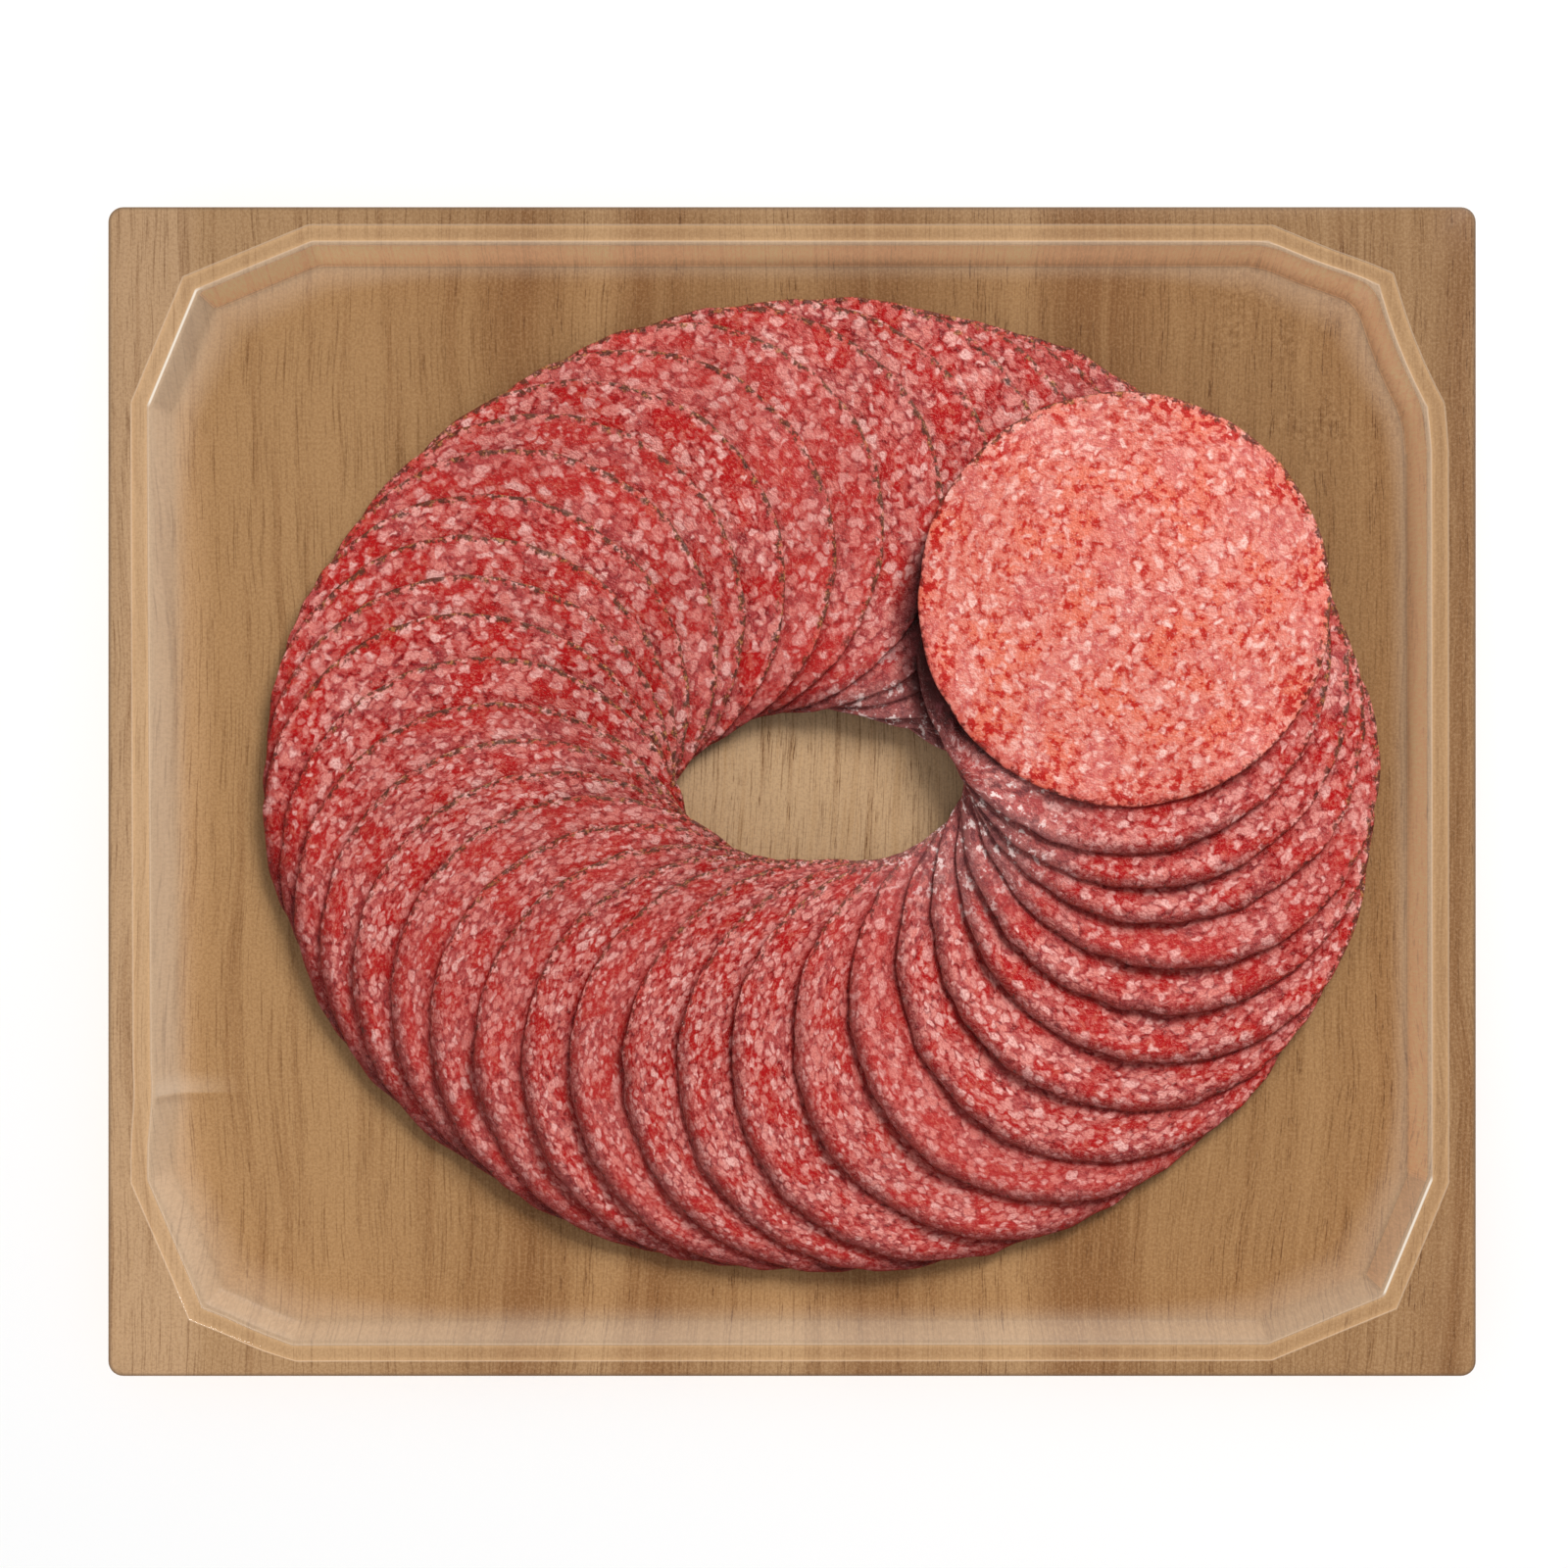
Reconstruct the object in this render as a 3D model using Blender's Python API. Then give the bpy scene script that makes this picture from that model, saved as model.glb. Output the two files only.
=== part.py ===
"""Sliced salami fanned in a ring, sealed in a shallow retail pack.

The pack is a tray formed from printed film, with a twelve-sided hollow, closed by a clear film.
The slices overlap clockwise from the one on top, which lies over the last of them.
Metres, +Z up. The origin is at the middle of the pack's underside.
"""

import math
import random

import bmesh
import bpy
import numpy as np
from mathutils import Matrix, Vector
from mathutils.geometry import delaunay_2d_cdt

# The tray: outer outline, hollow and film
PACK_WIDTH = 0.248
PACK_DEPTH = 0.212
PACK_CORNER_RADIUS = 0.0027
RIM_HEIGHT = 0.0114
TRAY_THICKNESS = 0.0005
HOLLOW_WIDTH = 0.233
HOLLOW_DEPTH = 0.200
HOLLOW_CENTRE = (-0.0004, -0.0002)
# Each corner of the hollow is cut by two facets, which turn the wall by 22.5, 45 and 22.5 degrees
FACET_TURN = math.radians(22.5)
CORNER_CUT = 0.0298
CORNER_SHOULDER = 0.0087
FACET_RADIUS = 0.003
FACET_STEPS = 2
RIM_RADIUS = 0.0009
WALL_SPREAD = 0.0028
FLOOR_RADIUS = 0.0032

# The clear film over it
FILM_THICKNESS = 0.0003
FILM_BULGE = 0.0016
FILM_RINGS = (0.93, 0.78, 0.55, 0.3)

# The slices, numbered clockwise from the one on top
SLICE_COUNT = 40
SLICE_DIAMETER = 0.075
SLICE_THICKNESS = 0.00055
SLICE_RINGS = ((0.4, 8), (0.76, 16), (1.0, 24))
OUT_OF_ROUND = 0.008
SEED = 7

# The ring of their centres
RING_CENTRE = (0.0053, 0.0008)
RING_RADII = (0.0642, 0.0515)
TOP_SLICE_ANGLE = math.radians(37.9)
TOP_SLICE_OUT = 1.095
STRAY = 0.0007
# The distance from a slice to the next, against the mean, at a few slices round the ring
CROWDING = (
    (1, 0.82), (4, 0.88), (10, 1.4), (13, 1.05), (20, 0.95),
    (25, 0.85), (31, 1.2), (37, 1.0), (41, 0.82),
)

# How the slices lie on each other, in slices: those under a slice's middle, in the fan and over
# the last slices; the stretch in which the slope changes; and how far the ring's edges droop
GAP = 0.00035
HALF_COVER = 4.4
LAST_COVER = 4.9
BLEND = 4.0
OUTER_DROOP = 3.0
INNER_DROOP = 0.6
FLAT_FROM = (29, 36)
FLAT_DROOP = 0.1

WOOD_PRINT = (0.36, 0.235, 0.125, 1.0)
CLEAR = (0.9, 0.9, 0.9, 1.0)
SALAMI = (0.5, 0.13, 0.11, 1.0)


def make_material(name, colour, roughness):
    material = bpy.data.materials.new(name)
    material.use_nodes = True
    shader = material.node_tree.nodes["Principled BSDF"]
    shader.inputs["Base Color"].default_value = colour
    shader.inputs["Roughness"].default_value = roughness
    shader.inputs["Metallic"].default_value = 0.0
    return material


def make_object(name, shape, material, place=(0.0, 0.0)):
    mesh = bpy.data.meshes.new(name)
    shape.to_mesh(mesh)
    shape.free()
    mesh.materials.append(material)
    made = bpy.data.objects.new(name, mesh)
    made.location = (*place, 0.0)
    bpy.context.collection.objects.link(made)


def rounded(corners, radius, steps):
    """The outline through the corners, counter-clockwise, each turned on an arc of the radius."""
    points = []
    for i, corner in enumerate(corners):
        before = (corners[i - 1] - corner).normalized()
        after = (corners[(i + 1) % len(corners)] - corner).normalized()
        half = before.angle(after) / 2
        centre = corner + (before + after).normalized() * radius / math.sin(half)
        spoke = corner + before * radius / math.tan(half) - centre
        for step in range(steps + 1):
            turn = (math.pi - 2 * half) * step / steps
            points.append(centre + Matrix.Rotation(turn, 2) @ spoke)
    return points


def pack_outline():
    """The pack's outer edge, with as many points as the hollow's outline."""
    x, y = PACK_WIDTH / 2, PACK_DEPTH / 2
    corners = [Vector((x, -y)), Vector((x, y)), Vector((-x, y)), Vector((-x, -y))]
    return rounded(corners, PACK_CORNER_RADIUS, 3 * (FACET_STEPS + 1) - 1)


def hollow_outline(inset):
    """The hollow's twelve-sided outline, each side moved in by the inset."""
    x, y = HOLLOW_WIDTH / 2 - inset, HOLLOW_DEPTH / 2 - inset
    cut = CORNER_CUT - inset * (1 - math.tan(FACET_TURN / 2))
    shoulder = CORNER_SHOULDER - inset * (1 - math.cos(2 * FACET_TURN) / math.cos(FACET_TURN))
    corners = []
    for side_x, side_y in ((1, -1), (1, 1), (-1, 1), (-1, -1)):
        facet_ends = [(x - cut, y), (x - shoulder, y - shoulder), (x, y - cut)]
        if side_x * side_y > 0:
            facet_ends.reverse()
        corners += [Vector((side_x * a, side_y * b)) for a, b in facet_ends]
    return [point + Vector(HOLLOW_CENTRE) for point in rounded(corners, FACET_RADIUS, FACET_STEPS)]


def lofted_film(levels, thickness):
    """A film whose top passes through closed outlines, from the outside in."""
    shape = bmesh.new()
    rings = [[shape.verts.new((p.x, p.y, z)) for p in outline] for outline, z in levels]
    for outer, inner in zip(rings, rings[1:]):
        for i, corner in enumerate(outer):
            j = (i + 1) % len(outer)
            shape.faces.new((corner, outer[j], inner[j], inner[i]))
    shape.faces.new(rings[-1])
    shape.normal_update()
    bmesh.ops.solidify(shape, geom=shape.faces[:], thickness=thickness)
    bmesh.ops.recalc_face_normals(shape, faces=shape.faces[:])
    return shape


def make_tray(material):
    """A flange round a hollow with sloping walls and a flat floor."""
    floor = TRAY_THICKNESS
    levels = [
        (pack_outline(), RIM_HEIGHT),
        (hollow_outline(-RIM_RADIUS * 0.5), RIM_HEIGHT),
        (hollow_outline(0.0), RIM_HEIGHT - RIM_RADIUS * 0.2),
        (hollow_outline(RIM_RADIUS * 0.5), RIM_HEIGHT - RIM_RADIUS),
        (hollow_outline(WALL_SPREAD), floor + FLOOR_RADIUS * 0.8),
        (hollow_outline(WALL_SPREAD + FLOOR_RADIUS * 0.4), floor + FLOOR_RADIUS * 0.2),
        (hollow_outline(WALL_SPREAD + FLOOR_RADIUS), floor),
    ]
    make_object("tray", lofted_film(levels, TRAY_THICKNESS), material)


def make_top_film(material):
    """Flat on the flange, with a low bulge over the slices."""
    base = RIM_HEIGHT + GAP + FILM_THICKNESS
    rim = hollow_outline(0.0)
    middle = Vector(HOLLOW_CENTRE)
    levels = [(pack_outline(), base), (rim, base)]
    for share in FILM_RINGS:
        outline = [middle + (point - middle) * share for point in rim]
        levels.append((outline, base + FILM_BULGE * (1 - share**2) ** 0.8))
    make_object("top_film", lofted_film(levels, FILM_THICKNESS), material)


def crowding(number):
    numbers, distances = zip(*CROWDING)
    return np.interp(number, numbers, distances)


def fan_turns():
    """How far each slice is turned clockwise from the top one, on the ring's ellipse."""
    steps = crowding(np.arange(1, SLICE_COUNT + 1))
    share = np.concatenate(([0.0], np.cumsum(steps))) / steps.sum()
    turns = np.linspace(0.0, 2 * math.pi, 721)
    angles = TOP_SLICE_ANGLE - turns
    curve = np.column_stack((np.cos(angles), np.sin(angles))) * RING_RADII
    lengths = np.concatenate(([0.0], np.cumsum(np.linalg.norm(np.diff(curve, axis=0), axis=1))))
    return np.interp(share * lengths[-1], lengths, turns)


def smooth_least(a, b):
    """The lesser of two values, rounded off where they cross."""
    near = np.clip(1 - np.abs(a - b) / BLEND, 0, 1)
    return np.minimum(a, b) - BLEND / 4 * near**2


def resting_heights(places, number, turns):
    """How high the underside of a slice lies at each place.

    A slice rises evenly from its hidden edge, near the floor, to its open edge, because each of
    those below it lies a step further round. The last slices lie flat, the first ones over them.
    """
    offset = places - RING_CENTRE
    scaled = offset / RING_RADII
    share = np.linalg.norm(scaled, axis=1)
    out = (share - 1) * np.linalg.norm(offset, axis=1) / share / (SLICE_DIAMETER / 2)
    turned = (TOP_SLICE_ANGLE - np.arctan2(scaled[:, 1], scaled[:, 0])) % (2 * math.pi)
    position = np.interp(turned, turns, np.arange(SLICE_COUNT + 1))
    ahead = (position - (number - 1) + SLICE_COUNT / 2) % SLICE_COUNT - SLICE_COUNT / 2
    position = number - 1 + ahead
    cover = HALF_COVER / crowding(position % SLICE_COUNT + 1)
    below = smooth_least(ahead + cover, SLICE_COUNT - number) + BLEND / 4
    over_last = -smooth_least(position - LAST_COVER, 0.0)
    droop = np.where(out > 0, OUTER_DROOP, INNER_DROOP) * out**2
    droop *= np.interp(position, FLAT_FROM, (1.0, FLAT_DROOP))
    return TRAY_THICKNESS + GAP + (SLICE_THICKNESS + GAP) * (below + over_last - droop)


def slice_plan(chance):
    """A slice from above, a little out of round: its points and its triangles."""
    lean = chance.uniform(0, math.pi)
    oval = chance.uniform(0, OUT_OF_ROUND)
    lobes = chance.uniform(0, OUT_OF_ROUND / 2)
    points = [Vector((0.0, 0.0))]
    for ring, (share, count) in enumerate(SLICE_RINGS):
        for i in range(count):
            angle = 2 * math.pi * (i + ring % 2 / 2) / count
            uneven = 1 + oval * math.cos(2 * (angle - lean)) + lobes * math.cos(3 * angle + lean)
            radius = SLICE_DIAMETER / 2 * share * uneven
            points.append(Vector((radius * math.cos(angle), radius * math.sin(angle))))
    flat = delaunay_2d_cdt(points, [], [], 0, 1e-7)
    return np.array([point[:] for point in flat[0]]), flat[2]


def slice_solid(points, triangles, heights):
    shape = bmesh.new()
    corners = [shape.verts.new((x, y, z)) for (x, y), z in zip(points, heights)]
    for triangle in triangles:
        shape.faces.new([corners[i] for i in triangle])
    grown = bmesh.ops.extrude_face_region(shape, geom=shape.faces[:])
    raised = [part for part in grown["geom"] if isinstance(part, bmesh.types.BMVert)]
    bmesh.ops.translate(shape, verts=raised, vec=(0, 0, SLICE_THICKNESS))
    bmesh.ops.recalc_face_normals(shape, faces=shape.faces[:])
    return shape


def make_slices(material):
    chance = random.Random(SEED)
    turns = fan_turns()
    for number in range(1, SLICE_COUNT + 1):
        angle = TOP_SLICE_ANGLE - turns[number - 1]
        place = np.array((math.cos(angle), math.sin(angle))) * RING_RADII
        if number == 1:
            place *= TOP_SLICE_OUT
        stray = [chance.uniform(-STRAY, STRAY) for _ in "xy"]
        centre = RING_CENTRE + place + stray
        points, triangles = slice_plan(chance)
        heights = resting_heights(points + centre, number, turns)
        make_object(f"slice_{number:02d}", slice_solid(points, triangles, heights), material, centre)


def main():
    for old in list(bpy.data.objects):
        bpy.data.objects.remove(old)
    make_tray(make_material("printed_film", WOOD_PRINT, 0.35))
    make_top_film(make_material("clear_film", CLEAR, 0.1))
    make_slices(make_material("salami", SALAMI, 0.4))


main()
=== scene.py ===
# Sliced salami, fanned in a ring and sealed in a wood-print tray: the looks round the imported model.
# Metres, +Z up, in the model's own frame. Each piece has its settings beside its code.

import math
import random

import bmesh
import bpy
import numpy as np
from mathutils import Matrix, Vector


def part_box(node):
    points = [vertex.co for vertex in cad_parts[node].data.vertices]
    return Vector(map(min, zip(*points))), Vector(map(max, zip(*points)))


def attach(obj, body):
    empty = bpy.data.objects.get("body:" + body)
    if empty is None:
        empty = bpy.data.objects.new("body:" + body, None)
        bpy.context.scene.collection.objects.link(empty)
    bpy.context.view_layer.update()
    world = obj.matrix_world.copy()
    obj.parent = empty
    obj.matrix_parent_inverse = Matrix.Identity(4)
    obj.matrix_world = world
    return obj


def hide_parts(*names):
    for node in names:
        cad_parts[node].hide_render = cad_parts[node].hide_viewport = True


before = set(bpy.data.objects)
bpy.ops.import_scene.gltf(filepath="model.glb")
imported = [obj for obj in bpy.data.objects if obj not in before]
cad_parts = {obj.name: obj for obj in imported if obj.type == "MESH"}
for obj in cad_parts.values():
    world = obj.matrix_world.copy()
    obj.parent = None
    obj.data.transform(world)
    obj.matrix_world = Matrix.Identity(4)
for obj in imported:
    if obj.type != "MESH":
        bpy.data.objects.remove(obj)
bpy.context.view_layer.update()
trayLow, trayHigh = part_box("tray")
sliceNodes = sorted(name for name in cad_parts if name.startswith("slice_"))
print("frame loaded,", len(sliceNodes), "slices")


# small helpers for modelling by hand

def deselectAll():
    if bpy.context.object and bpy.context.object.mode == "EDIT":
        bpy.ops.object.mode_set(mode="OBJECT")
    bpy.ops.object.select_all(action="DESELECT")


def applyModifier(piece, kind, name, **values):
    modifier = piece.modifiers.new(name, kind)
    for key, value in values.items():
        setattr(modifier, key, value)
    bpy.context.view_layer.objects.active = piece
    bpy.ops.object.modifier_apply(modifier=modifier.name)


def cleanNormals(piece):
    deselectAll()
    piece.select_set(True)
    bpy.context.view_layer.objects.active = piece
    bpy.ops.object.mode_set(mode="EDIT")
    bpy.ops.mesh.select_all(action="SELECT")
    bpy.ops.mesh.normals_make_consistent(inside=False)
    bpy.ops.object.mode_set(mode="OBJECT")


def pointsOf(piece):
    points = np.empty(len(piece.data.vertices) * 3)
    piece.data.vertices.foreach_get("co", points)
    return points.reshape(-1, 3)


def setPoints(piece, points):
    piece.data.vertices.foreach_set("co", points.ravel())
    piece.data.update()


def addAttribute(piece, name, kind, values):
    attribute = piece.data.attributes.new(name, kind, "POINT")
    attribute.data.foreach_set("vector" if kind == "FLOAT_VECTOR" else "value", np.ravel(values))


def selectOnly(piece, mode, wanted):
    # leaves edit mode on, with just the wanted faces or edges selected
    bpy.ops.object.mode_set(mode="EDIT")
    bpy.ops.mesh.select_mode(type=mode)
    bpy.ops.mesh.select_all(action="DESELECT")
    bpy.ops.object.mode_set(mode="OBJECT")
    for item in piece.data.polygons if mode == "FACE" else piece.data.edges:
        item.select = wanted(item)
    bpy.ops.object.mode_set(mode="EDIT")


def finishPiece(piece, slot, *nodes):
    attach(piece, "root")
    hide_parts(*nodes)


# helpers for materials

def newMaterial(name):
    material = bpy.data.materials.new(name)
    material.use_nodes = True
    return material, material.node_tree, material.node_tree.nodes["Principled BSDF"]


def addNode(tree, kind, **settings):
    node = tree.nodes.new("ShaderNode" + kind)
    for key, value in settings.items():
        if key in ("values", "links"):
            continue
        setattr(node, key, value)
    for key, value in settings.get("values", {}).items():
        node.inputs[key].default_value = value
    for key, value in settings.get("links", {}).items():
        tree.links.new(value, node.inputs[key])
    return node


def math1(tree, operation, *terms, clamp=False):
    node = tree.nodes.new("ShaderNodeMath")
    node.operation = operation
    node.use_clamp = clamp
    for socket, term in zip(node.inputs, terms):
        if isinstance(term, (int, float)):
            socket.default_value = term
        else:
            tree.links.new(term, socket)
    return node.outputs[0]


def ramp(tree, value, low, high, toLow=0.0, toHigh=1.0, smooth=True):
    node = tree.nodes.new("ShaderNodeMapRange")
    node.interpolation_type = "SMOOTHSTEP" if smooth else "LINEAR"
    tree.links.new(value, node.inputs["Value"])
    for key, number in (("From Min", low), ("From Max", high), ("To Min", toLow), ("To Max", toHigh)):
        if isinstance(number, (int, float)):
            node.inputs[key].default_value = number
        else:
            tree.links.new(number, node.inputs[key])
    return node.outputs["Result"]


def mixColour(tree, factor, first, second, blend="MIX"):
    node = tree.nodes.new("ShaderNodeMix")
    node.data_type = "RGBA"
    node.blend_type = blend
    for socket, term in zip((node.inputs[0], node.inputs[6], node.inputs[7]), (factor, first, second)):
        if isinstance(term, (int, float, tuple)):
            socket.default_value = term
        else:
            tree.links.new(term, socket)
    return node.outputs[2]


def scaled(tree, vector, scale, turn=0.0, place=(0.0, 0.0, 0.0)):
    node = tree.nodes.new("ShaderNodeMapping")
    node.inputs["Scale"].default_value = scale
    node.inputs["Rotation"].default_value = (0.0, 0.0, turn)
    node.inputs["Location"].default_value = place
    tree.links.new(vector, node.inputs["Vector"])
    return node.outputs["Vector"]


def noise(tree, vector, scale=1.0, detail=2.0, roughness=0.5, output="Fac"):
    # flat noise: every pattern here lies in a plane
    node = tree.nodes.new("ShaderNodeTexNoise")
    node.noise_dimensions = "2D"
    node.inputs["Scale"].default_value = scale
    node.inputs["Detail"].default_value = detail
    node.inputs["Roughness"].default_value = roughness
    tree.links.new(vector, node.inputs["Vector"])
    return node.outputs[output]


def product(tree, *terms):
    result = terms[0]
    for term in terms[1:]:
        result = math1(tree, "MULTIPLY", result, term)
    return result


# the tray: a flange with a seal round a twelve-sided hollow

trayLook = {
    "cornerRadius": 0.0027,
    "hollowSize": (0.233, 0.200),
    "hollowCentre": (-0.0004, -0.0002),
    "cornerCut": 0.0298,  # each corner is cut by two facets
    "facetCorner": 0.0006,
    "softCorner": 0.0028,  # at the corner that was drawn least sharply
    "sealWidth": 0.0030,
    "sealEdge": 0.00015,
    "sealStep": 0.00010,
    "rimRadius": 0.0009,
    "wallSpread": 0.0028,
    "floorRadius": 0.0020,
    "thickness": 0.0005,
    "floorRings": (0.0012, 0.0018, 0.003, 0.004, 0.006, 0.009),
    # where the sheet was drawn unevenly: place, reach, and how far it moved
    "nudges": (
        ((-0.1075, -0.0900), 0.024, (0.0012, -0.0022)),
        ((-0.0870, -0.0990), 0.020, (-0.0035, -0.0002)),
        ((0.1120, 0.0780), 0.020, (-0.0014, -0.0004)),
        ((0.1060, 0.0880), 0.015, (-0.0006, 0.0010)),
        ((-0.1150, -0.0540), 0.012, (0.0008, 0.0)),
    ),
    "fold": {
        "place": (-0.1150, -0.0556), "length": 0.0150,
        "height": 0.0005, "slope": 0.0060, "drop": 0.0024,
    },
}
rimHeight = trayHigh.z
floorHeight = trayLook["thickness"]


def insideBy(places):
    # how far each place lies inside the hollow's edge, and less than nothing outside it
    across = np.abs(places[:, :2] - trayLook["hollowCentre"])
    half = np.array(trayLook["hollowSize"]) / 2
    cut = trayLook["cornerCut"]
    sides = [half[0] - across[:, 0], half[1] - across[:, 1]]
    for turn, start in ((22.5, (half[0], half[1] - cut)), (67.5, (half[0] - cut, half[1]))):
        outward = np.array((math.cos(math.radians(turn)), math.sin(math.radians(turn))))
        sides.append((start - across) @ outward)
    return np.minimum.reduce(sides)


def selectHollow(piece):
    bpy.ops.mesh.select_mode(type="FACE")
    bpy.ops.mesh.select_all(action="DESELECT")
    plan = bmesh.from_edit_mesh(piece.data)
    max(plan.faces, key=lambda face: face.calc_area()).select_set(True)
    bmesh.update_edit_mesh(piece.data)


def flangedPlate(name, height, sealStep):
    # a flange from the pack's edge to the hollow's, left in edit mode with the hollow's face selected
    deselectAll()
    seal, edge = trayLook["sealWidth"], trayLook["sealEdge"]
    width, depth = trayLook["hollowSize"]
    cut = trayLook["cornerCut"] + seal * (1 - math.tan(math.radians(11.25)))
    bpy.ops.mesh.primitive_plane_add(size=1, location=(*trayLook["hollowCentre"], height))
    piece = bpy.context.object
    piece.name = name
    bpy.ops.object.mode_set(mode="EDIT")
    bpy.ops.transform.resize(value=(width + 2 * seal, depth + 2 * seal, 1))
    bpy.ops.mesh.bevel(offset=cut, segments=2, affect="VERTICES", profile=0.5)
    bpy.ops.mesh.primitive_plane_add(size=1, location=(0, 0, height))
    bpy.ops.transform.resize(value=(trayHigh.x - trayLow.x, trayHigh.y - trayLow.y, 1))
    bpy.ops.mesh.bevel(offset=trayLook["cornerRadius"], segments=7, affect="VERTICES", profile=0.5)
    bpy.ops.mesh.delete(type="ONLY_FACE")
    bpy.ops.mesh.select_mode(type="EDGE")
    bpy.ops.mesh.select_all(action="SELECT")
    bpy.ops.mesh.bridge_edge_loops()
    selectHollow(piece)
    for inward, down in ((edge, sealStep), (seal - 2 * edge, 0.0), (edge, -sealStep)):
        bpy.ops.mesh.inset(thickness=inward)
        bpy.ops.transform.translate(value=(0, 0, -down))
    return piece


def arcSteps(radius, start, end, count=5):
    # inward and downward moves along an arc, whose slope goes from one angle to the other
    angles = np.radians(np.linspace(start, end, count + 1))
    across = np.abs(np.diff(np.sin(angles))) * radius
    down = np.abs(np.diff(np.cos(angles))) * radius
    return list(zip(across, down))


def makeTray():
    piece = flangedPlate("formed_tray", rimHeight, trayLook["sealStep"])
    rim = arcSteps(trayLook["rimRadius"], 0, 75)
    foot = arcSteps(trayLook["floorRadius"], 75, 0)
    wallDown = rimHeight - floorHeight - sum(down for _, down in rim + foot)
    wallIn = trayLook["wallSpread"] - sum(across for across, _ in rim)
    rings = [(inward, 0.0) for inward in trayLook["floorRings"]]
    for inward, down in rim + [(wallIn / 3, wallDown / 3)] * 3 + foot + rings:
        bpy.ops.mesh.inset(thickness=inward)
        bpy.ops.transform.translate(value=(0, 0, -down))
    bpy.ops.object.mode_set(mode="OBJECT")
    bpy.ops.object.transform_apply(location=True, rotation=True, scale=True)
    cleanNormals(piece)
    softenCorners(piece)
    sliceThrough(piece)
    places = pointsOf(piece)
    addAttribute(piece, "inside", "FLOAT", insideBy(places))
    places = nudged(places)
    places[:, 2] += foldHeight(places)
    setPoints(piece, places)
    cleanNormals(piece)
    applyModifier(piece, "SOLIDIFY", "wall", thickness=trayLook["thickness"], offset=-1.0)
    applyModifier(piece, "BEVEL", "edge", width=0.00012, segments=2, limit_method="ANGLE", angle_limit=1.2)
    bpy.ops.object.shade_smooth_by_angle(angle=math.radians(28))
    return piece


def softenCorners(piece):
    # the corner lines that run down the wall are rounded, most of all at the far right
    reach = (-trayLook["sealWidth"] * 0.9, trayLook["wallSpread"] + trayLook["floorRadius"] * 1.2)
    for size, segments, soft in ((trayLook["facetCorner"], 3, False), (trayLook["softCorner"], 4, True)):
        inside = insideBy(pointsOf(piece))
        places = pointsOf(piece)

        def runsDown(line):
            a, b = line.vertices
            atSoft = min(places[a, 0], places[b, 0]) > 0.08 and min(places[a, 1], places[b, 1]) > 0.06
            within = reach[0] < min(inside[a], inside[b]) and max(inside[a], inside[b]) < reach[1]
            return bool(within and abs(inside[a] - inside[b]) > 1e-5 and atSoft == soft)

        selectOnly(piece, "EDGE", runsDown)
        bpy.ops.mesh.bevel(offset=size, segments=segments, affect="EDGES")
        bpy.ops.object.mode_set(mode="OBJECT")


def sliceThrough(piece):
    # lines across the sheet, close together where it is uneven
    fold = trayLook["fold"]
    foldX, foldY = fold["place"]
    across = [(foldX + fold["length"] * i / 8, 0) for i in range(-1, 9)]
    along = [(foldY - fold["drop"] * i / 3, 1) for i in range(4)]
    along += [(foldY + fold["slope"] * i / 6, 1) for i in range(1, 7)]
    corners = [(-0.109 + 0.004 * i, 0) for i in range(8)] + [(-0.100 + 0.004 * i, 1) for i in range(11)]
    corners += [(0.090 + 0.004 * i, 0) for i in range(7)] + [(0.062 + 0.004 * i, 1) for i in range(9)]
    bpy.ops.object.mode_set(mode="EDIT")
    for place, axis in across + along + corners:
        bpy.ops.mesh.select_all(action="SELECT")
        normal = (1 - axis, axis, 0)
        bpy.ops.mesh.bisect(plane_co=(place * (1 - axis), place * axis, 0), plane_no=normal)
    bpy.ops.object.mode_set(mode="OBJECT")


def nudged(places):
    moved = places.copy()
    half = np.array((trayHigh.x, trayHigh.y))
    free = np.clip((half - np.abs(places[:, :2])).min(axis=1) / 0.004, 0, 1)
    for place, reach, move in trayLook["nudges"]:
        share = np.clip(1 - (np.linalg.norm(places[:, :2] - place, axis=1) / reach) ** 2, 0, 1) ** 2 * free
        moved[:, :2] += share[:, None] * move
    return moved


def foldHeight(places):
    # one pinched fold beside the wall: a slow rise from one side and a steep drop on the other
    fold = trayLook["fold"]
    beyond = places[:, 1] - fold["place"][1]
    profile = np.where(beyond > 0, 1 - beyond / fold["slope"], 1 + beyond / fold["drop"])
    along = 1 - (places[:, 0] - fold["place"][0]) / fold["length"]
    low = np.clip((0.004 - places[:, 2]) / 0.002, 0, 1) * (insideBy(places) > 0)
    return fold["height"] * np.clip(profile, 0, 1) ** 1.5 * np.clip(along, 0, 1) * low


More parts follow.
